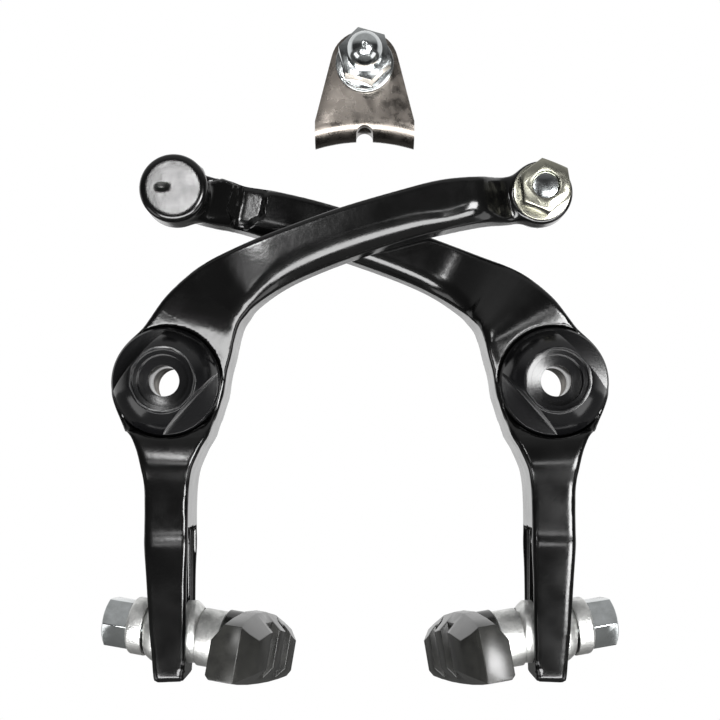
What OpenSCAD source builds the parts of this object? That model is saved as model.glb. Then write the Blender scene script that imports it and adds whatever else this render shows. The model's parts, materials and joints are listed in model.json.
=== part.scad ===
// Centre-crossing U-brake: a front and a rear arm that turn on frame bosses,
// spring-tension nuts, threaded brake pads on ball washers and a cable hanger.
// Frame: X to the right, Y away from the viewer, Z up. Origin midway between
// the pivots on the plane where the arm bosses meet the bicycle frame.

/* [Pivots] */
// Distance between the two pivot axes
pivot_spacing = 82.2; // [74:0.1:92]
// Bore that turns on the frame boss, diameter
boss_bore_d = 8.1; // [7.6:0.05:8.6]
// Wall of the pivot bush
bush_wall = 1.45; // [1:0.05:1.6]
// Depth of the arm boss, from the frame side to the tension nut
boss_depth = 15.8; // [14.8:0.1:17]
// Outer diameter of the arm boss
boss_d = 24; // [23.8:0.1:26]
// Wall of the tube that carries the bush
hub_wall = 1.5; // [1.2:0.05:1.7]
// Thickness of the arm boss behind the spring
boss_floor = 3.5; // [3:0.1:4]
// Mean radius of the return spring
spring_r = 8.45; // [8.3:0.05:8.6]
// Diameter of the spring wire
wire_d = 1.8; // [1.4:0.1:1.9]
// Number of turns of the spring
spring_turns = 4.25; // [3.25:1:5.25]

/* [Tension nuts] */
// Diameter of the tension nut
nut_disc_d = 23; // [22:0.1:23.6]
// Thickness of the nut at its rim
nut_rim_t = 1.7; // [1.4:0.1:2.2]
// Height of the dome above the rim
nut_dome_h = 5.3; // [4.6:0.1:6]
// Width across the wrench flats
nut_flat_w = 13.9; // [13.4:0.1:15]
// Tilt of the flats from level
nut_flat_angle = 48.5; // [0:0.5:90]
// Diameter of the counterbore at its mouth
counterbore_d = 12.7; // [11.6:0.1:12.8]
// Depth of the whole counterbore
counterbore_depth = 2.8; // [2:0.1:3.4]
// Hole for the mounting bolt
bolt_hole_d = 6.5; // [6.2:0.1:7]
// Depth of the counterbore's wide mouth
nut_step_depth = 1; // [0.6:0.1:1.6]
// Diameter of the counterbore below its mouth, which takes the bolt head
nut_seat_d = 10.8; // [10.4:0.1:11.4]
// Length of the nut's spigot, which turns in the arm in front of the bush
spigot_len = 3; // [2:0.1:4]

/* [Arms] */
// Reach of the front arm from its pivot to the cable bolt
front_reach = 80.1; // [76:0.1:84]
// Height of the cable bolt above the pivot
front_rise = 41.1; // [38:0.1:44]
// Reach of the rear arm from its pivot to its cable boss
rear_reach = 80.2; // [76:0.1:84]
// Height of the cable boss above the pivot
rear_rise = 40.4; // [38:0.1:44]
// Front face of the front arm where the arms cross
front_face = 21; // [20.6:0.1:23]
// Back face of the front arm where the arms cross
front_back = 11.4; // [11.2:0.1:12.6]
// Front face of the rear arm where the arms cross
rear_face = 10.6; // [9.6:0.1:10.8]
// Back face of the rear arm and of both legs
rear_back = 2; // [1.6:0.1:3]
// Front face of the legs
leg_face = 19.4; // [19:0.1:21]
// Radius of the lug round the cable bolt
lug_r = 6.8; // [6:0.1:7.6]
// Front face of that lug
lug_face = 14; // [13:0.1:14.6]
// Back face of that lug
lug_back = 8; // [7.4:0.1:9]
// Radius of the rear arm's cable boss
cable_boss_r = 7.2; // [6.6:0.1:8]
// Front face of the cable boss
cable_boss_face = 22; // [20.6:0.1:24]
// Back face of the cable boss
cable_boss_back = 13.4; // [12:0.1:14]
// Diameter of the seat for the straddle cable's barrel end
barrel_seat_d = 5.2; // [4.6:0.1:5.6]
// Depth of that seat
barrel_seat_depth = 6.4; // [5:0.1:7]
// Slot that the straddle cable leaves the seat by
cable_slot_w = 2.2; // [1.8:0.1:2.6]

/* [Pad slots] */
// Depth of the brake pad's stud below the pivot
stud_drop = 53.4; // [52:0.1:54.4]
// Height of the slot's upper end below the pivot
slot_top = 31; // [29:0.1:34]
// Distance from the stud at rest to the slot's lower end
slot_below = 5.4; // [5:0.1:6]
// Width of the slot
slot_w = 8; // [7.8:0.05:8.6]
// Thickness of the leg between the washer lands
land_t = 6.6; // [6.2:0.1:7]
// Width of the washer lands
land_w = 14.4; // [13.9:0.1:14.6]

/* [Pads] */
// Diameter of the pad stud
stud_d = 6; // [5.6:0.1:6.2]
// Toe-in of the pads
toe_angle = 9.4; // [6:0.2:12]
// Droop of the pads toward the wheel
droop_angle = 8.5; // [6:0.5:12]
// Turn of the pads about their studs, the far end lower
pad_turn = 7; // [0:0.2:10]
// Ball radius of the inner pair of washers
inner_ball_r = 8.6; // [8.4:0.05:9]
// Ball radius of the outer pair of washers
outer_ball_r = 7.6; // [7.4:0.05:7.8]
// Diameter of the inner washer that lies on the arm
inner_dome_d = 13.4; // [12.8:0.1:13.6]
// Diameter of the outer washer that lies on the arm
outer_dome_d = 12.9; // [12.4:0.1:13.1]
// Diameter of the hollow washers
cup_washer_d = 12.4; // [11.6:0.1:12.8]
// Width of the flat rim round their hollow
cup_rim = 0.65; // [0.6:0.05:0.9]
// Distance from the ball centre to the back of the pad
pad_standoff = 12; // [11.4:0.1:14]
// Distance from the ball centre to the inner face of the stud nut
nut_standoff = 8.8; // [8.6:0.1:11]
// Length of the pad
pad_len = 50; // [44:0.5:56]
// Height of the pad in its middle
pad_h = 15.2; // [13:0.1:17]
// Thickness of the pad's body
pad_t = 8.3; // [7.4:0.1:10]
// Height of the round boss on the back of the pad
pad_boss_h = 3.1; // [2.4:0.1:3.6]
// Diameter of that boss
pad_boss_d = 13.4; // [11:0.1:13.8]
// Width of the two grooves across the braking face
groove_w = 6.6; // [3:0.1:7.4]
// Depth of the grooves
groove_depth = 1.9; // [1.4:0.1:3]
// Depth of rubber behind the stud's head
stud_head_in = 1.4; // [1:0.1:2]
// Thickness of the stud's head inside the rubber
stud_head_t = 1.8; // [1.2:0.1:2.2]
// Diameter of that head
stud_head_d = 10; // [8.6:0.1:11]

/* [Fasteners] */
// Width across the flats of the nuts
nut_af = 10; // [9:0.1:11]
// Length of the stud nuts
stud_nut_t = 5.6; // [5:0.1:7]
// Length of the locking nut on the cable bolt
anchor_nut_t = 6.5; // [5.5:0.1:7]
// Diameter of the cable bolt and of the hanger bolt
bolt_d = 5.9; // [5:0.1:6]
// Thickness of the flat washers
washer_t = 1; // [0.8:0.1:1.4]
// Diameter of the flat washers
washer_d = 12.4; // [12:0.1:13]
// Thickness of the grooved cable clamp washer
clamp_t = 2.6; // [2.2:0.1:3]
// Height of the cable bolt's head
bolt_head_h = 3.8; // [3:0.1:4]
// Diameter of the brake cable
cable_d = 1.6; // [1.2:0.1:2]

/* [Hanger] */
// Height of the hanger bolt above the pivots
hanger_z = 68.7; // [67:0.1:80]
// Sideways place of the hanger
hanger_x = 1; // [-3:0.5:3]
// Front face of the hanger plate
hanger_face = 14; // [13.5:0.1:15]
// Thickness of the hanger sheet
hanger_t = 2; // [1.6:0.1:2.4]
// Radius of the plate's rounded top
hanger_top_r = 7.3; // [6.8:0.1:8]
// Half width of the plate at its foot
hanger_half_w = 10.7; // [9:0.1:13]
// Distance from the bolt to the middle of the plate's arched foot
hanger_drop = 15.7; // [15:0.1:18]
// Radius of that arch
arch_r = 36; // [28:1:60]
// Inside radius of the rolled cable channel
channel_r = 2.2; // [1.6:0.1:2.6]
// Height of the channel's free lip
lip_h = 2.2; // [1.4:0.1:4]
// Width of the notch in the channel
notch_w = 3.6; // [2.6:0.1:5]
// Height of the notch's round end above the middle of the arched foot
notch_h = 2.7; // [2:0.1:4]
// Length of the cap nut's dome and hexagon together
cap_nut_h = 11.5; // [10:0.1:13]
// Length of its hexagon
cap_hex_h = 5; // [4:0.1:6]
// Radius of its dome
cap_r = 3.7; // [3.2:0.1:4.2]

/* [Hidden] */
$fn = 64;

// Running clearance of a round pair, on the radius
run_gap = 0.05;
// Clearance between the tension nut and the pocket round it
pocket_gap = 0.4;
// Gap between flat faces that slide on each other
slide_gap = 0.05;
// Clearance of a bolt in its hole, on the radius
hole_gap = 0.1;
// A little more than nothing, so that a cut leaves no skin
eps = 0.2;

half_span = pivot_spacing / 2;
bush_r = boss_bore_d / 2 + bush_wall;
hub_r = bush_r + hub_wall;
spring_cavity_r = spring_r + wire_d / 2 + 0.45;
spigot_r = bush_r - run_gap;
nut_back = boss_depth + 0.3;
spigot_end = nut_back - spigot_len;
nut_rim = nut_back + nut_rim_t;
nut_front = nut_rim + nut_dome_h;
slot_y = (leg_face + rear_back) / 2;
slot_bottom = stud_drop + slot_below;
// Radius of the arms' front and back edges
front_edge_r = 1;
back_edge_r = 1.6;

// Centre line of an arm above its pivot, as shares of its reach and rise,
// with half the arm's width at each station
arm_line = [
    [0.020, 0.060, 11.0], [0.056, 0.200, 9.8], [0.087, 0.314, 8.75],
    [0.123, 0.409, 7.6], [0.162, 0.477, 6.9], [0.201, 0.528, 6.3],
    [0.270, 0.603, 5.7], [0.353, 0.675, 5.35], [0.484, 0.770, 5.2],
    [0.637, 0.860, 5.1], [0.738, 0.909, 5.15], [0.835, 0.939, 4.75],
    [0.906, 0.964, 4.9], [0.960, 0.985, 5.0]
];

// Front arm at each station: front face, back face, width of the bevel along
// its lower edge, extra height
front_depths = [
    [boss_depth - 0.4, 1.2, 1, 0], [boss_depth + 1.2, 1.8, 1, 0],
    [front_face - 2.4, 3, 1, 0], [front_face - 1.4, 5, 1.4, 0],
    [front_face - 0.8, 7.5, 1.8, 0], [front_face - 0.3, 10, 2.2, 0],
    [front_face, front_back - 0.2, 2.8, 0], [front_face, front_back, 3.2, 0],
    [front_face, front_back, 3.2, 0], [front_face, front_back, 3, 0],
    [front_face - 0.2, front_back, 3, 0], [front_face - 1, front_back - 0.8, 3.4, 0],
    [lug_face - 0.1, lug_back + 0.3, 1, 0], [lug_face - 0.3, lug_back + 0.3, 1, 0]
];

// Rear arm at each station, in the same order
rear_depths = [
    [boss_depth - 0.4, 1.2, 1, 0], [boss_depth + 1.2, 1.6, 1, 0],
    [leg_face - 1.8, rear_back, 1, 0], [rear_face + 6.3, rear_back, 1.2, 0],
    [rear_face + 4.2, rear_back, 1.6, 0], [rear_face + 2.1, rear_back, 2.2, 0],
    [rear_face + 0.3, rear_back, 2.8, 0], [rear_face, rear_back, 3, 0],
    [rear_face, rear_back, 3, 0], [rear_face, rear_back + 0.4, 3, 0.2],
    [rear_face, rear_back + 0.8, 2.4, 0], [rear_face, rear_back + 2.2, 2, 0.5],
    [cable_boss_face - 5.4, cable_boss_back - 5, 1.4, 0.5],
    [cable_boss_face - 1.6, cable_boss_back - 0.8, 1.2, 0.1]
];

// Stations of a leg: depth below the pivot, shift toward the wheel,
// half width, front face, back face, size of the front edges
leg_line = [
    [2, 0, 11.2, boss_depth - 0.4, 1, 1], [8, 0.5, 10, boss_depth + 0.6, 1.2, 1],
    [10.5, 0.7, 8.8, leg_face - 1, 1.5, 1], [13.5, 0.6, 7.1, leg_face, rear_back, 1],
    [17.5, 0.4, 5.6, leg_face + 0.6, rear_back, 1],
    [21.5, 0.4, 4.8, leg_face, rear_back, 1],
    [26, 0.35, 4.6, leg_face - 0.8, rear_back, 1],
    [30, 0.3, 4.6, leg_face - 0.2, rear_back, 1],
    [34, 0.35, 4.6, leg_face + 0.3, rear_back, 1],
    [41.5, 0.45, 4.25, leg_face, rear_back, 1],
    [stud_drop - 1.4, 0.7, 3.9, leg_face - 0.4, rear_back, 1],
    [slot_bottom - 0.6, 0.95, 3.6, leg_face - 0.8, rear_back + 0.2, 1],
    [slot_bottom + 3.2, 1.05, 3.5, leg_face - 1.2, rear_back + 1, 1],
    [slot_bottom + 4.4, 1.1, 2.9, leg_face - 2.6, rear_back + 2.4, 1]
];
stud_shift = 0.7;

// Direction of the line through the stations' first two values
function heading(st, i) =
    let (a = st[max(i - 1, 0)], b = st[min(i + 1, len(st) - 1)],
         v = [b[0] - a[0], b[1] - a[1]])
    v / norm(v);

// Points of one section with soft corners and a bevel at the lower front edge:
// station is [x, z, half width, front, back, bevel]
function section(st, i) =
    let (s = st[i], t = heading(st, i), w = s[2], f = s[3], b = s[4],
         e = min(front_edge_r, w / 2), g = min(back_edge_r, w / 2), c = min(s[5], w),
         rim = [[w, f - e], [w - 0.3 * e, f - 0.3 * e], [w - e, f],
                [c - w, f], [0.45 * c - w, f - 0.2 * c], [-w, f - 0.6 * c],
                [-w, b + g], [0.3 * g - w, b + 0.3 * g], [g - w, b],
                [w - g, b], [w - 0.3 * g, b + 0.3 * g], [w, b + g]])
    [for (q = rim) [s[0] - t[1] * q[0], -q[1], s[1] + t[0] * q[0]]];

// Faces of a skin over rings of n points, closed at both ends
function skin_faces(rings, n) = concat(
    [for (i = [0 : rings - 2]) for (k = [0 : n - 1])
        let (a = i * n + k, b = i * n + (k + 1) % n)
        each [[a, a + n, b], [b, a + n, b + n]]],
    [[for (k = [0 : n - 1]) k],
     [for (k = [n - 1 : -1 : 0]) (rings - 1) * n + k]]);

// Skin over the sections of a line of stations
module loft(st) {
    pts = [for (i = [0 : len(st) - 1]) each section(st, i)];
    polyhedron(points = pts, faces = skin_faces(len(st), len(pts) / len(st)));
}

// Turns a shape drawn upward so that it points at the viewer
module facing() {
    rotate([90, 0, 0]) children();
}

// A round bar whose axis points at the viewer, between two depths
module bar(r, from, to) {
    translate([0, -from, 0]) facing() cylinder(r = r, h = to - from);
}

// Places the left brake shapes, or their mirror image on the right
module side(right) {
    if (right) mirror([1, 0, 0]) children();
    else children();
}

function upper_stations(reach, rise, depths) =
    [for (i = [0 : len(arm_line) - 1])
        [arm_line[i][0] * reach, arm_line[i][1] * rise + depths[i][3], arm_line[i][2],
         depths[i][0], depths[i][1], depths[i][2]]];

function leg_stations() =
    [for (s = leg_line) [s[1], -s[0], s[2], s[3], s[4], s[5]]];

// The slot that the pad stud slides in, and the flat lands for its washers
module pad_slot() {
    reach = boss_d;
    translate([-reach / 2, -slot_y, 0]) {
        for (z = [-slot_top - slot_w / 2, -slot_bottom + slot_w / 2])
            translate([0, 0, z]) rotate([0, 90, 0]) cylinder(d = slot_w, h = reach);
        translate([0, -slot_w / 2, -slot_bottom + slot_w / 2])
            cube([reach, slot_w, slot_bottom - slot_top - slot_w]);
    }
    for (s = [-1, 1])
        translate([stud_shift + s * (land_t / 2 + reach / 2), -slot_y,
                   -slot_bottom - land_w])
            translate([-reach / 2, -land_w / 2, 0])
                cube([reach, land_w, slot_bottom - slot_top + land_w]);
}

// What both arms share: boss, leg, spring cavity and bores, pivot at the origin
module arm_body(reach, rise, depths) {
    difference() {
        union() {
            bar(boss_d / 2, 0, boss_depth);
            loft(upper_stations(reach, rise, depths));
            difference() {
                loft(leg_stations());
                pad_slot();
            }
        }
        bar(bush_r, -eps, boss_depth + eps);
        difference() {
            bar(spring_cavity_r, boss_floor, boss_depth + eps);
            bar(hub_r, 0, boss_depth - 0.4);
        }
        bar(nut_disc_d / 2 + pocket_gap, boss_depth, front_face + nut_dome_h);
        translate([spring_r, 0, 0]) bar(wire_d / 2 + hole_gap, 1.2, boss_floor + eps);
    }
}

module front_arm() {
    color("#16171a")
    translate([-half_span, 0, 0])
    difference() {
        union() {
            arm_body(front_reach, front_rise, front_depths);
            translate([front_reach, 0, front_rise]) bar(lug_r, lug_back, lug_face);
        }
        translate([front_reach, 0, front_rise])
            bar(bolt_d / 2 + hole_gap, lug_back - eps, lug_face + eps);
    }
}

// Direction in which the straddle cable leaves the rear arm
cable_rise_angle = 26;

module rear_arm() {
    color("#16171a")
    mirror([1, 0, 0])
    translate([-half_span, 0, 0])
    difference() {
        union() {
            arm_body(rear_reach, rear_rise, rear_depths);
            translate([rear_reach, 0, rear_rise]) cable_boss();
        }
        translate([rear_reach, 0, rear_rise]) {
            bar(barrel_seat_d / 2, 0, cable_boss_back + barrel_seat_depth);
            rotate([0, cable_rise_angle, 0])
                translate([-2 * cable_boss_r, -cable_boss_back - barrel_seat_depth + eps,
                           -cable_slot_w / 2])
                    cube([2 * cable_boss_r, barrel_seat_depth, cable_slot_w]);
        }
    }
}

// The closed round boss at the end of the rear arm, with a soft front edge
module cable_boss() {
    edge = 1.4;
    facing() rotate_extrude()
        polygon([[0, cable_boss_back], [cable_boss_r, cable_boss_back],
                 for (a = [0 : 15 : 90])
                     [cable_boss_r - edge + edge * cos(a),
                      cable_boss_face - edge + edge * sin(a)],
                 [0, cable_boss_face]]);
}

// Sleeve bearing pressed into an arm
module bush(right) {
    color("#b9975a")
    side(right) translate([-half_span, 0, 0])
    difference() {
        bar(bush_r, 0, spigot_end - slide_gap);
        bar(boss_bore_d / 2, -eps, boss_depth);
    }
}

// Domed nut that clamps on the frame boss and holds the spring's outer end
module tension_nut(right) {
    edge = 0.3;
    dome_r = nut_disc_d / 2 - edge;
    crown_r = counterbore_d / 2 + 0.7;
    // Depth of the dome's centre below the rim, and the dome's radius
    sink = (dome_r * dome_r - crown_r * crown_r - nut_dome_h * nut_dome_h) / (2 * nut_dome_h);
    ball = norm([dome_r, sink]);
    steps = 8;
    color("#1b1c1f")
    side(right) translate([-half_span, 0, 0])
    difference() {
        facing() rotate_extrude()
            polygon([[0, spigot_end], [spigot_r, spigot_end],
                     [spigot_r, nut_back], [dome_r, nut_back],
                     [nut_disc_d / 2, nut_back + edge],
                     [nut_disc_d / 2, nut_rim - edge], [dome_r, nut_rim],
                     for (k = [1 : steps - 1])
                         let (h = nut_dome_h * k / steps)
                         [sqrt(ball * ball - (h + sink) * (h + sink)), nut_rim + h],
                     [crown_r, nut_front], [0, nut_front]]);
        bar(bolt_hole_d / 2, 0, nut_front + eps);
        bar(nut_seat_d / 2, nut_front - counterbore_depth, nut_front + eps);
        bar(counterbore_d / 2, nut_front - nut_step_depth, nut_front + eps);
        for (s = [0, 180])
            rotate([0, -nut_flat_angle + s, 0])
                translate([-nut_disc_d, -nut_front - 1, nut_flat_w / 2])
                    cube([2 * nut_disc_d, nut_front + 0.9 - nut_rim, nut_disc_d]);
        rotate([0, -spring_end_angle, 0])
            translate([spring_r, 0, 0])
                bar(wire_d / 2 + hole_gap, nut_back - eps, nut_back + 1.3);
    }
}

// Turns of the spring, its ends bent outward along the axis
spring_from = boss_floor + 1;
spring_to = boss_depth - 1.1;
spring_end_angle = 360 * spring_turns;
bend_r = 1.3;
bend_angle = bend_r / spring_r * 180 / PI;
bend_steps = 3;
steps_per_turn = 14;
wire_sides = 8;

// Centre line of the spring as [angle, depth]
function spring_line() =
    let (coil_steps = round(spring_turns * steps_per_turn),
         low = [for (k = [0 : bend_steps])
             let (q = 90 * k / bend_steps)
             [bend_angle * (1 - cos(q)), spring_from - bend_r + bend_r * sin(q)]],
         coil = [for (k = [1 : coil_steps - 1])
             let (f = k / coil_steps)
             [bend_angle + (spring_end_angle - 2 * bend_angle) * f,
              spring_from + (spring_to - spring_from) * f]],
         high = [for (k = [0 : bend_steps])
             let (q = 90 * k / bend_steps)
             [spring_end_angle - bend_angle * (1 - sin(q)),
              spring_to + bend_r * (1 - cos(q))]])
    concat([[0, 1.6]], low, coil, high, [[spring_end_angle, nut_back + 1]]);

function on_spring(p) = [spring_r * cos(p[0]), -p[1], spring_r * sin(p[0])];

module spring(right) {
    line = spring_line();
    last = len(line) - 1;
    pts = [for (i = [0 : last])
        let (a = on_spring(line[max(i - 1, 0)]), b = on_spring(line[min(i + 1, last)]),
             t = (b - a) / norm(b - a),
             out = [cos(line[i][0]), 0, sin(line[i][0])],
             up = cross(t, out))
        each [for (k = [0 : wire_sides - 1])
            let (w = 360 * k / wire_sides)
            on_spring(line[i]) + wire_d / 2 * (cos(w) * out + sin(w) * up)]];
    color("#8d9094")
    side(right) translate([-half_span, 0, 0])
        polyhedron(points = pts, faces = skin_faces(len(line), wire_sides));
}

// A hexagonal bar along the depth axis, between two depths
module hex_bar(af, from, to) {
    translate([0, -from, 0]) facing() cylinder(d = af / cos(30), h = to - from, $fn = 6);
}

// Moves a shape to the cable bolt at the end of the front arm
module at_anchor() {
    translate([-half_span + front_reach, 0, front_rise]) children();
}

module anchor_bolt() {
    head_back = lug_back - clamp_t - bolt_head_h;
    color("#b7b9b4")
    at_anchor() {
        bar(bolt_d / 2, head_back + bolt_head_h, lug_face + washer_t + anchor_nut_t - 0.8);
        rotate([0, 22, 0]) hex_bar(nut_af, head_back, head_back + bolt_head_h);
    }
}

// Washer under the bolt head, with a groove that grips the cable
module anchor_clamp_washer() {
    color("#a9aba8")
    at_anchor()
    difference() {
        bar(washer_d / 2, lug_back - clamp_t, lug_back);
        bar(bolt_d / 2 + hole_gap, 0, lug_back + eps);
        translate([-washer_d, -lug_back, bolt_d / 2 + cable_d / 2])
            rotate([0, 90, 0]) cylinder(d = cable_d, h = 2 * washer_d);
    }
}

module anchor_front_washer() {
    color("#c7c2a8")
    at_anchor()
    difference() {
        bar(washer_d / 2, lug_face, lug_face + washer_t);
        bar(bolt_d / 2 + hole_gap, lug_face - eps, lug_face + washer_t + eps);
    }
}

// Hexagonal nut whose outer corners are turned off
module hex_nut(af, bore_r, from, to) {
    corner = af / cos(30) / 2;
    chamfer = 0.7;
    difference() {
        intersection() {
            hex_bar(af, from, to);
            facing() rotate_extrude()
                polygon([[0, from], [corner + eps, from],
                         [corner + eps, to - chamfer * 0.8],
                         [corner - chamfer - 0.3, to], [0, to]]);
        }
        bar(bore_r, from - eps, to + eps);
    }
}

module anchor_nut() {
    from = lug_face + washer_t;
    color("#c9c19a")
    at_anchor() rotate([0, 22, 0])
        hex_nut(nut_af, bolt_d / 2, from, from + anchor_nut_t);
}

// Places pad pieces, drawn with the stud axis along X and the pad's length
// along Y, at the ball centre in the left leg or in the right one
module at_pad(right) {
    side(right)
    translate([-half_span + stud_shift, -slot_y, -stud_drop])
        rotate([0, 0, -toe_angle]) rotate([0, droop_angle, 0]) children();
}

// The same place without toe and droop, for what lies flat on the leg
module at_leg(right) {
    side(right)
    translate([-half_span + stud_shift, -slot_y, -stud_drop]) children();
}

module along_x() {
    rotate([0, 90, 0]) children();
}

// Points of a ball's profile between two distances from the stud's axis
function ball_arc(r, from, to, steps) =
    [for (k = [0 : steps])
        let (q = from + (to - from) * k / steps)
        [q, sqrt(r * r - q * q)]];

// Widest tilt of the stud in the dome washers, and the hole that clears it
toe_spare = 3;
widest_tilt = norm([toe_angle + toe_spare, droop_angle]);
function dome_hole_r(ball_r) =
    stud_d / 2 / cos(widest_tilt) + 0.82 * ball_r * tan(widest_tilt);
cup_hole_r = stud_d / 2 + hole_gap;

// Washer with a flat back on the arm and a ball-shaped face
module dome_washer(right, way, ball_r, d) {
    color("#a7a9a5")
    at_leg(right) along_x() mirror([0, 0, way > 0 ? 0 : 1])
        rotate_extrude()
            polygon(concat(
                [[d / 2, land_t / 2 + slide_gap],
                 [dome_hole_r(ball_r), land_t / 2 + slide_gap]],
                ball_arc(ball_r, dome_hole_r(ball_r), d / 2, 6)));
}

// Hollow washer that rides on the dome and tilts with the stud
module cup_washer(right, way, ball_r, outer_face) {
    open_r = cup_washer_d / 2 - cup_rim;
    color("#b5b7b3")
    at_pad(right) along_x() mirror([0, 0, way > 0 ? 0 : 1])
        rotate_extrude()
            polygon(concat(
                ball_arc(ball_r + run_gap, open_r, cup_hole_r, 8),
                [[cup_hole_r, outer_face], [cup_washer_d / 2 - 0.5, outer_face],
                 [cup_washer_d / 2, outer_face - 0.5],
                 [cup_washer_d / 2, sqrt(pow(ball_r + run_gap, 2) - open_r * open_r)]]));
}

module pad_stud(right) {
    stud_end = nut_standoff + stud_nut_t - 0.3;
    color("#9c9e9b")
    at_pad(right) along_x() {
        translate([0, 0, -stud_end])
            cylinder(d = stud_d, h = stud_end + pad_standoff + eps);
        translate([0, 0, pad_standoff + stud_head_in])
            cylinder(d = stud_head_d, h = stud_head_t);
        translate([0, 0, pad_standoff])
            cylinder(d = stud_d, h = stud_head_in + stud_head_t / 2);
    }
}

module pad_nut(right) {
    color("#b7b9b4")
    at_pad(right) rotate([0, 0, 90])
        translate([0, nut_standoff, 0]) mirror([0, 1, 0])
            translate([0, nut_standoff, 0])
                hex_nut(nut_af, stud_d / 2, nut_standoff, nut_standoff + stud_nut_t);
}

// Sections of the pad at shares of its half length: top, bottom, upper and lower
// edge of the braking face as shares of the height, depth of the upper bevel
pad_line = [
    [-1, 0.27, -0.46, 0.06, -0.36, 2.6], [-0.76, 0.36, -0.485, 0.13, -0.325, 3.2],
    [-0.4, 0.46, -0.505, 0.235, -0.275, 3.7], [0, 0.49, -0.51, 0.28, -0.255, 3.9],
    [0.4, 0.46, -0.505, 0.235, -0.275, 3.7], [0.76, 0.36, -0.485, 0.13, -0.325, 3.2],
    [1, 0.27, -0.46, 0.06, -0.36, 2.6]
];
// Depth and height of the bevel along the upper back edge
back_bevel = [2.2, 3.4];
// Depth of the bevel along the braking face's lower edge
low_bevel = 2.8;
// Depth and length of the slanted facets at the ends of the braking face
end_facet = [2.6, 6];
// Places of the two grooves from the stud toward the far end
groove_places = [-4.4, 8.6];

// Body of the pad, drawn with its back at x = 0
module pad_body() {
    pts = [for (q = pad_line)
        let (y = q[0] * pad_len / 2, edge = 0.8, hi = q[1] * pad_h)
        each [[0, y, hi - back_bevel[1]], [back_bevel[0], y, hi],
              [pad_t - q[5], y, hi], [pad_t, y, q[3] * pad_h],
              [pad_t, y, q[4] * pad_h], [pad_t - low_bevel, y, q[2] * pad_h],
              [edge, y, q[2] * pad_h], [0, y, q[2] * pad_h + edge]]];
    intersection() {
        polyhedron(points = pts, faces = skin_faces(len(pad_line), 8));
        translate([0, 0, -pad_h]) linear_extrude(height = 2 * pad_h)
            polygon([for (s = [-1, 1])
                each [[s < 0 ? 0 : pad_t, s * (pad_len / 2 - (s < 0 ? 0 : end_facet[1]))],
                      [pad_t - end_facet[0], s * pad_len / 2],
                      [s < 0 ? pad_t : 0, s * (pad_len / 2 - (s < 0 ? end_facet[1] : 0))]]]);
    }
}

module pad(right) {
    back = pad_standoff + pad_boss_h;
    face = back + pad_t;
    color("#2a2a2b")
    at_pad(right)
    difference() {
        rotate([-pad_turn, 0, 0]) difference() {
            union() {
                translate([back, 0, 0]) pad_body();
                along_x() translate([0, 0, pad_standoff])
                    cylinder(d = pad_boss_d, h = pad_boss_h + 1);
            }
            for (y = groove_places)
                translate([face - groove_depth, y - groove_w / 2, -pad_h])
                    cube([groove_depth + 1, groove_w, 2 * pad_h]);
        }
        along_x() {
            translate([0, 0, pad_standoff - eps])
                cylinder(d = stud_d, h = eps + stud_head_in + stud_head_t / 2);
            translate([0, 0, pad_standoff + stud_head_in])
                cylinder(d = stud_head_d, h = stud_head_t);
        }
    }
}

// Moves a shape to the hanger bolt's axis
module at_hanger() {
    translate([hanger_x, 0, hanger_z]) children();
}

// Front view of the hanger plate, with a notch in its foot
module hanger_outline() {
    // Height of the arched foot at the plate's sides, and below it
    foot = -hanger_drop - arch_r + sqrt(arch_r * arch_r - hanger_half_w * hanger_half_w);
    below = foot - 2;
    difference() {
        polygon([for (a = [14 : 8 : 166]) hanger_top_r * [cos(a), sin(a)],
                 [-hanger_half_w, foot + 5], [-hanger_half_w, below],
                 [hanger_half_w, below], [hanger_half_w, foot + 5]]);
        circle(d = bolt_d + 2 * hole_gap);
        translate([0, notch_h - notch_w / 2 - hanger_drop]) circle(d = notch_w);
        translate([-notch_w / 2, below - 1])
            square([notch_w, notch_h - notch_w / 2 - hanger_drop - below + 1]);
    }
}

// The sheet's section, rolled backward and up into a cable channel: x is the
// distance from the centre of the arched foot, y the depth
module sheet_profile() {
    outer = channel_r + hanger_t;
    centre = [arch_r + outer, hanger_face - outer];
    top = arch_r + hanger_drop + hanger_top_r;
    lap = 0.05;
    translate([centre[0] - lap, hanger_face - hanger_t])
        square([top - centre[0] + lap, hanger_t]);
    translate(centre) difference() {
        circle(r = outer, $fn = 48);
        circle(r = channel_r, $fn = 48);
        translate([0, -2 * outer]) square([2 * outer, 4 * outer]);
    }
    translate([centre[0] - lap, centre[1] - outer]) square([lip_h + lap, hanger_t]);
}

module hanger_plate() {
    color("#98928a")
    at_hanger()
    intersection() {
        translate([0, -hanger_face - 1, 0]) rotate([90, 0, 0]) mirror([0, 0, 1])
            linear_extrude(height = hanger_face) hanger_outline();
        translate([0, 0, -hanger_drop - arch_r]) facing() rotate_extrude($fn = 120)
            sheet_profile();
    }
}

// Bolt whose round head holds the brake cable against the back of the plate
module hanger_bolt() {
    back = hanger_face - hanger_t;
    head_h = 5;
    color("#aaaca7")
    at_hanger()
    difference() {
        union() {
            bar(bolt_d / 2, back - head_h / 2, hanger_face + washer_t + 5);
            bar(nut_af / 2, back - head_h, back);
        }
        translate([0, -back + cable_d / 2 + 0.5, -nut_af])
            cylinder(d = cable_d + 0.4, h = 2 * nut_af);
    }
}

module hanger_washer() {
    color("#b5b6b1")
    at_hanger()
    difference() {
        bar(washer_d / 2, hanger_face, hanger_face + washer_t);
        bar(bolt_d / 2 + hole_gap, hanger_face - eps, hanger_face + washer_t + eps);
    }
}

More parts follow.
